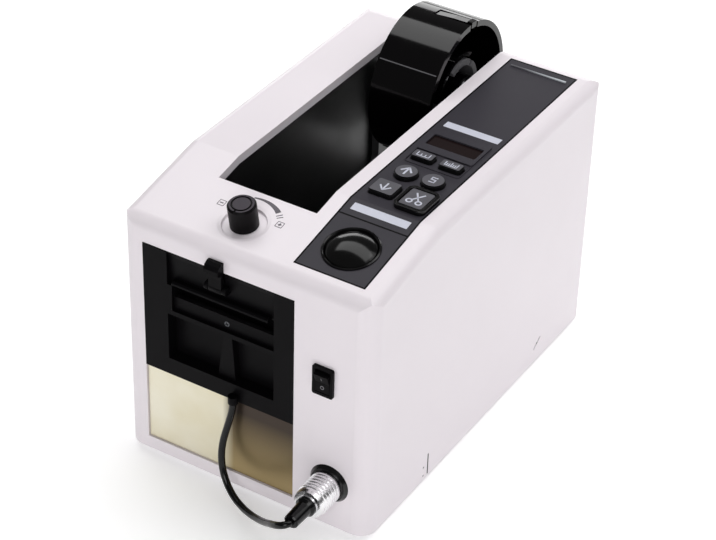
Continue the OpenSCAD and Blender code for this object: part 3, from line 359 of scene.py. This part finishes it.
# Faces of a piece that meet at less than this angle are shaded as one
SMOOTH_ANGLE = 35

# Corners of a round outline, and of a small one
ROUND_COUNT = 48
SMALL_COUNT = 24


def place(obj, body, finish):
    """Puts a new piece into the scene on a body."""
    bpy.context.scene.collection.objects.link(obj)
    obj.data.materials.append(finish.mat)
    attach(obj, body)
    return obj


def piece(name, bm, body, finish, bevel=0.0, smooth=True):
    """A mesh piece from millimetres in the frame, with an optional bevel on its sharp edges."""
    bmesh.ops.recalc_face_normals(bm, faces=bm.faces)
    bmesh.ops.scale(bm, vec=(MM, MM, MM), verts=bm.verts)
    mesh = bpy.data.meshes.new(name)
    bm.to_mesh(mesh)
    bm.free()
    obj = bpy.data.objects.new(name, mesh)
    if smooth:
        mesh.shade_smooth()
        mesh.set_sharp_from_angle(angle=math.radians(SMOOTH_ANGLE))
    if bevel:
        round_edge(obj, bevel)
    return place(obj, body, finish)


def prism(bm, outline, z0, z1, at):
    """Adds a straight prism over an outline in X and Y."""
    low = [bm.verts.new(at @ Vector((x, y, z0))) for x, y in outline]
    high = [bm.verts.new(at @ Vector((x, y, z1))) for x, y in outline]
    count = len(outline)
    bm.faces.new(list(reversed(low)))
    bm.faces.new(high)
    for i in range(count):
        j = (i + 1) % count
        bm.faces.new((low[i], low[j], high[j], high[i]))


def band(bm, outer, inner, z0, z1, at):
    """Adds a flat frame between two outlines with equal counts of points."""
    rings = []
    for outline, z in ((outer, z0), (outer, z1), (inner, z1), (inner, z0)):
        rings.append([bm.verts.new(at @ Vector((x, y, z))) for x, y in outline])
    count = len(outer)
    for a, b in zip(rings, rings[1:] + rings[:1]):
        for i in range(count):
            j = (i + 1) % count
            bm.faces.new((a[i], a[j], b[j], b[i]))


def polar(r, angle):
    """Point at a radius and an angle from the middle."""
    turn = math.radians(angle)
    return (r * math.cos(turn), r * math.sin(turn))


def arc(r, start, end, steps, middle=(0, 0)):
    """Points along an arc from one angle to another."""
    points = (polar(r, start + (end - start) * k / steps) for k in range(steps + 1))
    return [(middle[0] + x, middle[1] + y) for x, y in points]


def circle(r, count=ROUND_COUNT):
    return arc(r, 0, 360, count)[:-1]


def round_rect(w, h, r, steps=5):
    x, y = w / 2 - r, h / 2 - r
    points = []
    for start, middle in ((0, (x, y)), (90, (-x, y)), (180, (-x, -y)), (270, (x, -y))):
        points += arc(r, start, start + 90, steps, middle)
    return points


def arc_band(bm, radii, start, end, z0, z1, at, steps=40):
    """Adds a curved bar between two radii and two angles."""
    inner, outer = (arc(r, start, end, steps) for r in radii)
    prism(bm, outer + inner[::-1], z0, z1, at)


def bar(bm, a, b, width, z0, z1, at):
    """Adds a straight stroke from a to b."""
    a, b = Vector(a), Vector(b)
    ahead = (b - a).normalized()
    half = Vector((-ahead.y, ahead.x)) * width / 2
    prism(bm, [(a - half)[:], (b - half)[:], (b + half)[:], (a + half)[:]], z0, z1, at)


def deck(x, y, lift=0.0):
    """Frame on the top skin: X right, Y to the rear along the skin, Z away from it."""
    tilt = SLOPE if y < BEND_Y else 0.0
    z = TOP_Z - max(BEND_Y - y, 0) * math.tan(SLOPE)
    return Matrix.Translation((x, y, z)) @ Matrix.Rotation(tilt, 4, "X") @ Matrix.Translation((0, 0, lift))


def front(x, z, lift):
    """Frame off the front face: X right, Y up, Z toward the viewer."""
    return Matrix.Translation((x, FRONT_Y - lift, z)) @ Matrix.Rotation(math.radians(90), 4, "X")


def side(x, y, z):
    """Frame on a face to the right: X to the rear, Y up, Z to the right."""
    return Matrix(((0, 0, 1, x), (1, 0, 0, y), (0, 1, 0, z), (0, 0, 0, 1)))


def spin(angle):
    """Turn about a frame's own Z."""
    return Matrix.Rotation(math.radians(angle), 4, "Z")


def make_cable():
    data = bpy.data.curves.new("sensor_cable_jacket", "CURVE")
    data.dimensions = "3D"
    data.bevel_depth = CABLE_D * JACKET_SHARE * MM
    data.bevel_resolution = JACKET_ROUND
    data.resolution_u = JACKET_STEPS
    line = data.splines.new("BEZIER")
    line.bezier_points.add(len(CABLE_ROUTE) - 1)
    for knot, at in zip(line.bezier_points, CABLE_ROUTE):
        knot.co = Vector(at) * MM
        knot.handle_left_type = knot.handle_right_type = "AUTO"
    cable = place(bpy.data.objects.new("sensor_cable_jacket", data), "body", jacket)
    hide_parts("sensor_cable")


# Stage and light, in metres: half the floor's side and its own glow
FLOOR_HALF = 4.0
FLOOR_GLOW = 0.3

# Plain light from all round
SKY_COLOR = (1.0, 0.99, 1.0, 1.0)
SKY_STRENGTH = 0.12

# Soft boxes: place, point that they face, size and power in watts
LIGHTS = {
    "key_strip": ((-0.3, 0.45, 1.6), (-0.3, 0.45, 0.0), (2.8, 1.05), 25.5),
    "rear_softbox": ((-0.5, 1.6, 0.45), (-0.1, 0.0, 0.15), (2.2, 0.6), 10.0),
    "front_softbox": ((0.6, -1.7, 0.9), (0.0, 0.0, 0.08), (1.2, 1.0), 13.8),
    "right_softbox": ((1.2, 0.9, 1.3), (0.0, 0.05, 0.1), (1.0, 1.0), 4.0),
}


def make_floor():
    mesh = bpy.data.meshes.new("floor")
    corners = [(x * FLOOR_HALF, y * FLOOR_HALF, 0) for x, y in ((-1, -1), (1, -1), (1, 1), (-1, 1))]
    mesh.from_pydata(corners, [], [(0, 1, 2, 3)])
    floor = bpy.data.objects.new("floor", mesh)
    bpy.context.scene.collection.objects.link(floor)
    pale = Finish("floor_pale", srgb(250, 250, 250), 0.8, specular=0.1).tint(0.01, 3)
    pale.shader.inputs["Emission Color"].default_value = (1.0, 1.0, 1.0, 1.0)
    pale.shader.inputs["Emission Strength"].default_value = FLOOR_GLOW
    mesh.materials.append(pale.mat)


def make_light():
    world = bpy.data.worlds.new("studio")
    world.use_nodes = True
    sky = world.node_tree.nodes["Background"]
    sky.inputs["Color"].default_value = SKY_COLOR
    sky.inputs["Strength"].default_value = SKY_STRENGTH
    bpy.context.scene.world = world
    for name, (at, toward, size, power) in LIGHTS.items():
        data = bpy.data.lights.new(name, "AREA")
        data.shape = "RECTANGLE"
        data.size, data.size_y = size
        data.energy = power
        light = bpy.data.objects.new(name, data)
        light.location = at
        light.rotation_euler = (Vector(toward) - Vector(at)).to_track_quat("-Z", "Y").to_euler()
        bpy.context.scene.collection.objects.link(light)
    bpy.context.scene.view_settings.view_transform = "Standard"


# Printed marks, and marks of painted light and shade, stand this far off the surface that carries them
PRINT_AND_PAINT_LIFT = 0.06

# Bare label strips on the panel: middle, width and depth, and the round of their corners
LABELS = {
    "label_upper": (39.75, 26.4, 29.4, 4.8),
    "label_lower": (39.65, -56.0, 29.3, 4.6),
}
LABEL_R = 0.3


def make_labels():
    for name, (x, y, w, h) in LABELS.items():
        bm = bmesh.new()
        prism(bm, round_rect(w, h, LABEL_R), 0, PRINT_AND_PAINT_LIFT, deck(x, y))
        piece(name, bm, "body", print_pale)


# Keys: rim below the panel and step round the top face, which a key's box takes in, and the face's corners
KEY_RIM = 0.7
KEY_STEP = 0.5
KEY_R = 1.0
ROUND_KEYS = ("up", "program")

# Strokes of the marks on the keys, from a key's middle
ARROW_UP = (((0, -3.0), (0, 2.4)), ((-2.8, -0.4), (0.1, 3.2)), ((2.8, -0.4), (-0.1, 3.2)))
ARROW_DOWN = [((ax, -ay), (bx, -by)) for (ax, ay), (bx, by) in ARROW_UP]
FIGURE = (((-1.2, 2.0), (1.5, 2.0)), ((-1.2, 2.3), (-1.2, 0.2)), ((-1.5, 0.2), (1.2, 0.2)),
          ((1.2, 0.5), (1.2, -2.0)), ((1.5, -1.9), (-1.5, -1.9)))
SCISSORS = (((-2.2, 4.3), (1.6, -1.6)), ((2.2, 4.3), (-1.6, -1.6)))

# Loops of the scissors: their middles and radius
LOOPS = ((-2.4, -2.9), (2.4, -2.9))
LOOP_R = 1.75

# Ruler marks: half of the base line and of the row of ticks, heights of the line and of the ticks' ends
RULER_HALF = 3.4
TICKS_HALF = 3.15
RULER_BASE = -1.4
TICK_LONG = 1.6
TICK_SHORT = 0.5
LONG_EVERY = 3


def ruler(ticks):
    """Strokes of a ruler with a count of ticks, some of them long."""
    strokes = [((-RULER_HALF, RULER_BASE), (RULER_HALF, RULER_BASE))]
    for i in range(ticks):
        x = TICKS_HALF * (2 * i / (ticks - 1) - 1)
        strokes.append(((x, RULER_BASE), (x, TICK_SHORT if i % LONG_EVERY else TICK_LONG)))
    return strokes


# Mark of each key: strokes, their width and the middles of its loops
KEY_MARKS = {
    "up": (ARROW_UP, 0.95, ()),
    "down": (ARROW_DOWN, 0.8, ()),
    "program": (FIGURE, 0.65, ()),
    "cut": (SCISSORS, 0.8, LOOPS),
    "unit": (ruler(4), 0.5, ()),
    "mode": (ruler(7), 0.5, ()),
}


def key_top(name):
    """Lays a key's top face, lighter than its sides as painted light, and returns the frame for the mark on
    it.
    """
    low, high = (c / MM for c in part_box(name + "_key"))
    at = Matrix.Translation(((low.x + high.x) / 2, (low.y + high.y) / 2, high.z))
    w, h = (high - low).xy - Vector((1, 1)) * 2 * (KEY_RIM + KEY_STEP)
    outline = circle(w / 2) if name in ROUND_KEYS else round_rect(w, h, KEY_R)
    bm = bmesh.new()
    prism(bm, outline, 0, PRINT_AND_PAINT_LIFT, at)
    piece(name + "_face", bm, name + "_cap", key_grey)
    return at @ Matrix.Translation((0, 0, PRINT_AND_PAINT_LIFT))


def make_key_marks():
    for name, (strokes, width, loops) in KEY_MARKS.items():
        at = key_top(name)
        bm = bmesh.new()
        for a, b in strokes:
            bar(bm, a, b, width, 0, PRINT_AND_PAINT_LIFT, at)
        for x, y in loops:
            outer, inner = (circle(r, SMALL_COUNT) for r in (LOOP_R, LOOP_R - width))
            band(bm, outer, inner, 0, PRINT_AND_PAINT_LIFT, at @ Matrix.Translation((x, y, 0)))
        piece(name + "_mark", bm, name + "_cap", print_pale)


# Dial round the speed knob, on the deck: its middle and radius, an arc that grows wider, and two strokes
DIAL_AT = (-13.0, -88.0)
DIAL_R = 17.2
DIAL_ARC = (104, 50)
DIAL_HALF = (0.35, 1.3)
DIAL_STEPS = 24
STROKE_ANGLES = (44, 39)
STROKE_HALF = 1.5
STROKE_W = 0.5

# Boxed minus and plus at the dial's ends: angles, box and its line, rounds, and half and width of a sign
SIGN_ANGLES = {"dial_low": 155, "dial_high": 24}
SIGN_BOX = 3.6
SIGN_LINE = 0.3
SIGN_R = (0.3, 0.2)
SIGN_HALF = 0.9
SIGN_W = 0.6


def make_dial():
    at = deck(*DIAL_AT)
    outer, inner = [], []
    for k in range(DIAL_STEPS + 1):
        angle, half = (a + (b - a) * k / DIAL_STEPS for a, b in (DIAL_ARC, DIAL_HALF))
        outer.append(polar(DIAL_R + half, angle))
        inner.append(polar(DIAL_R - half, angle))
    bm = bmesh.new()
    prism(bm, outer + inner[::-1], 0, PRINT_AND_PAINT_LIFT, at)
    for angle in STROKE_ANGLES:
        bar(bm, polar(DIAL_R - STROKE_HALF, angle), polar(DIAL_R + STROKE_HALF, angle), STROKE_W, 0, PRINT_AND_PAINT_LIFT, at)
    piece("dial_arc", bm, "body", print_dark)
    for name, angle in SIGN_ANGLES.items():
        make_sign(name, at @ Matrix.Translation((*polar(DIAL_R, angle), 0)), name == "dial_high")


def make_sign(name, at, plus):
    inside = SIGN_BOX - 2 * SIGN_LINE
    outer, inner = (round_rect(size, size, r) for size, r in zip((SIGN_BOX, inside), SIGN_R))
    bm = bmesh.new()
    band(bm, outer, inner, 0, PRINT_AND_PAINT_LIFT, at)
    bar(bm, (-SIGN_HALF, 0), (SIGN_HALF, 0), SIGN_W, 0, PRINT_AND_PAINT_LIFT, at)
    if plus:
        bar(bm, (0, -SIGN_HALF), (0, -SIGN_W / 2), SIGN_W, 0, PRINT_AND_PAINT_LIFT, at)
        bar(bm, (0, SIGN_W / 2), (0, SIGN_HALF), SIGN_W, 0, PRINT_AND_PAINT_LIFT, at)
    piece(name, bm, "body", print_dark)


# Rocker switch: pivot, tilt at rest, and for each half of its face the length, the rise over it and the
# distance of its middle from the pivot
ROCKER_AT = (43.0, -105.0, 85.0)
ROCKER_TILT = 10
HALF_LENGTH = 5.2
HALF_RISE = 1.0
HALF_OUT = 3.1

# Marks on it: a stroke on the upper half and a ring on the lower half
ON_HALF = 0.9
ON_W = 0.4
OFF_R = (1.0, 0.62)
OFF_COUNT = 32


def rocker_half(sign):
    """Frame on the middle of the rocker's upper or lower half: X right, Y up along the face, Z outward."""
    up = Vector((0, -sign * HALF_RISE, HALF_LENGTH)).normalized()
    out = Vector((0, -up.z, up.y))
    turn = Matrix((Vector((1, 0, 0)), up, out)).transposed().to_4x4()
    tilt = Matrix.Rotation(math.radians(ROCKER_TILT), 4, "X")
    middle = Matrix.Translation((0, -HALF_OUT, sign * HALF_LENGTH / 2))
    return Matrix.Translation(ROCKER_AT) @ tilt @ middle @ turn


def make_switch_marks():
    bm = bmesh.new()
    bar(bm, (0, -ON_HALF), (0, ON_HALF), ON_W, 0, PRINT_AND_PAINT_LIFT, rocker_half(1))
    outer, inner = (circle(r, OFF_COUNT) for r in OFF_R)
    band(bm, outer, inner, 0, PRINT_AND_PAINT_LIFT, rocker_half(-1))
    piece("switch_marks", bm, "rocker", print_dim)


# Painted shade inside the slots and holes low on the right side: middle, size and tilt, as in the CAD model
SIDE_X = 66.0
SIDE_DEPTH = 1.3
SIDE_R = 0.1
SIDE_SLOT_SHADES = (
    (-51.0, 10.25, 1.24, 12.54, 0),
    (57.4, 13.7, 1.24, 4.6, 55),
    (-55.0, 5.5, 1.0, 1.0, 45),
    (-55.0, 10.5, 1.0, 1.0, 45),
)


def make_side_slot_shades():
    bm = bmesh.new()
    for y, z, w, h, tilt in SIDE_SLOT_SHADES:
        prism(bm, round_rect(w, h, SIDE_R, steps=1), 0, SIDE_DEPTH, side(SIDE_X, y, z) @ spin(tilt))
    piece("side_slot_shades", bm, "body", black, smooth=False)


# Axle of the reel in Y and Z, and the split ring inside the drum, round its hub: radii, ends and angles
AXLE_AT = (77.3, 130.5)
RING_R = (13.4, 16.6)
RING_X = (-22.6, 4.8)
RING_ARCS = ((57, 122), (-62, 45), (180, 262))
RING_BEVEL = 0.2


def make_drum_ring():
    bm = bmesh.new()
    for start, end in RING_ARCS:
        arc_band(bm, RING_R, start, end, 0, RING_X[1] - RING_X[0], side(RING_X[0], *AXLE_AT))
    piece("drum_ring", bm, "reel", hub_grey_and_seam_highlight, bevel=RING_BEVEL)


# Painted highlight along a moulding seam of the drum, a pale strip: radii, angles and the room left at each
# end
SEAM_R = (37.4, 37.72)
SEAM_ARC = (141.2, 142.0)
SEAM_END = 1.0


def make_drum_seam():
    low, high = (c.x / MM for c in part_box("reel_drum"))
    at = side(low + SEAM_END, *AXLE_AT)
    bm = bmesh.new()
    arc_band(bm, SEAM_R, *SEAM_ARC, 0, high - low - 2 * SEAM_END, at, steps=4)
    piece("drum_seam_highlight", bm, "reel", hub_grey_and_seam_highlight)


# Painted light: faces on top of the speed knob, either side of its groove and clear of its pointer notch
KNOB_AXIS = (-12.25, -87.05)
KNOB_TOP = 11.4
KNOB_DISC_R = 4.05
KNOB_RIM_R = (4.95, 5.8)
NOTCH_ANGLE = -90
NOTCH_HALF = 6


def make_knob_faces():
    at = deck(*KNOB_AXIS, KNOB_TOP)
    bm = bmesh.new()
    prism(bm, circle(KNOB_DISC_R), 0, PRINT_AND_PAINT_LIFT, at)
    arc_band(bm, KNOB_RIM_R, NOTCH_ANGLE + NOTCH_HALF, NOTCH_ANGLE + 360 - NOTCH_HALF, 0, PRINT_AND_PAINT_LIFT, at)
    piece("knob_faces", bm, "knob", knob_top_painted_light)


# Low rib that runs on from the display's bezel round the two keys in front of it, with painted shade inside
RIB_FRONT = -12.2
RIB_W = 0.6
RIB_H = 0.35
RIB_R = 2.0
RIB_LINE = 0.35


def u_turn(x0, x1, y0, y1, r, steps=6):
    """Open outline down the left side, round two corners and up the right side."""
    left = arc(r, 180, 270, steps, (x0 + r, y0 + r))
    right = arc(r, 270, 360, steps, (x1 - r, y0 + r))
    return [(x0, y1)] + left + right + [(x1, y1)]


def display_frame(name, inset, width, height, finish):
    """A strip round the two keys, set in from the bezel's outside."""
    low, high = (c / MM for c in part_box("display_bezel"))
    outer, inner = (u_turn(low.x + e, high.x - e, RIB_FRONT + e, low.y, RIB_R - e)
                    for e in (inset, inset + width))
    bm = bmesh.new()
    prism(bm, outer + inner[::-1], 0, height, Matrix.Translation((0, 0, TOP_Z)))
    piece(name, bm, "body", finish)


def make_display_rib():
    display_frame("display_rib", 0, RIB_W, RIB_H, panel_grey)
    display_frame("display_rib_shade", RIB_W, RIB_LINE, PRINT_AND_PAINT_LIFT, black)


# Painted shade: a dark line over the gap round the panels, reaching out over the deck and in over the panels,
# and over the seam between them
GAP_OUT = 0.38
GAP_IN = 0.45
GAP_W = GAP_OUT + GAP_IN
PANEL_SEAM_GAP = 0.3
PANEL_SEAM_W = 0.8


def make_panel_gap():
    low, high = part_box("start_panel")[0] / MM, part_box("control_panel")[1] / MM
    # The deck's slope begins just in front of the bend
    flat, slope = deck(0, BEND_Y), deck(0, BEND_Y - PRINT_AND_PAINT_LIFT)
    front_end = (low.y - BEND_Y) / math.cos(SLOPE) - GAP_OUT
    rear_end = high.y - BEND_Y + GAP_OUT
    left_end, right_end = low.x - GAP_OUT, high.x + GAP_OUT
    bm = bmesh.new()
    for at, a, b in ((flat, 0, rear_end), (slope, front_end, 0)):
        for x in (left_end + GAP_W / 2, right_end - GAP_W / 2):
            bar(bm, (x, a), (x, b), GAP_W, 0, PRINT_AND_PAINT_LIFT, at)
    for at, y in ((flat, rear_end - GAP_W / 2), (slope, front_end + GAP_W / 2)):
        bar(bm, (left_end, y), (right_end, y), GAP_W, 0, PRINT_AND_PAINT_LIFT, at)
    seam = (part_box("start_panel")[1].y / MM + PANEL_SEAM_GAP / 2 - BEND_Y) / math.cos(SLOPE)
    bar(bm, (left_end + GAP_W, seam), (right_end - GAP_W, seam), PANEL_SEAM_W, 0, PRINT_AND_PAINT_LIFT, slope)
    piece("panel_gap", bm, "body", black, smooth=False)


# Skin of painted highlight on the ridge near the panel's rear end: room beside and behind it, its width and
# height
RIDGE_SIDE = 3.0
RIDGE_BACK = 6.2
RIDGE_W = 0.8
RIDGE_H = 0.5


def make_panel_ridge():
    low, high = (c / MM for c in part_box("control_panel"))
    left, right = low.x + RIDGE_SIDE - PRINT_AND_PAINT_LIFT, high.x - RIDGE_SIDE + PRINT_AND_PAINT_LIFT
    y = high.y - RIDGE_BACK + RIDGE_W / 2
    at = Matrix.Translation((0, 0, TOP_Z))
    bm = bmesh.new()
    bar(bm, (left, y), (right, y), RIDGE_W + 2 * PRINT_AND_PAINT_LIFT, 0, RIDGE_H + PRINT_AND_PAINT_LIFT, at)
    piece("panel_ridge", bm, "body", ridge_highlight)


# Small screw above the mouth: place, depth behind the front face, radius, root, head, bevel and cross slot
SCREW_AT = (-10.1, 93.1)
SCREW_SUNK = 2.0
SCREW_R = 1.4
SCREW_ROOT = 0.1
SCREW_HEAD = 0.4
SCREW_BEVEL = 0.15
CROSS_HALF = 0.9
CROSS_W = 0.4
CROSS_ANGLES = (20, 110)


def make_apron_screw():
    at = front(*SCREW_AT, -SCREW_SUNK)
    bm = bmesh.new()
    prism(bm, circle(SCREW_R, SMALL_COUNT), -SCREW_ROOT, SCREW_HEAD, at)
    piece("apron_screw", bm, "body", motor_grey, bevel=SCREW_BEVEL)
    # Cross slot as a dark cross of painted shade
    bm = bmesh.new()
    for angle in CROSS_ANGLES:
        bar(bm, (-CROSS_HALF, 0), (CROSS_HALF, 0), CROSS_W, SCREW_HEAD, SCREW_HEAD + PRINT_AND_PAINT_LIFT, at @ spin(angle))
    piece("apron_screw_cross_shade", bm, "body", black, smooth=False)


make_camera()
make_cable()
dress_nodes()
soften_nodes()
make_floor()
make_light()
make_labels()
make_key_marks()
make_dial()
make_switch_marks()
make_side_slot_shades()
make_drum_ring()
make_drum_seam()
make_knob_faces()
make_display_rib()
make_panel_gap()
make_panel_ridge()
make_apron_screw()
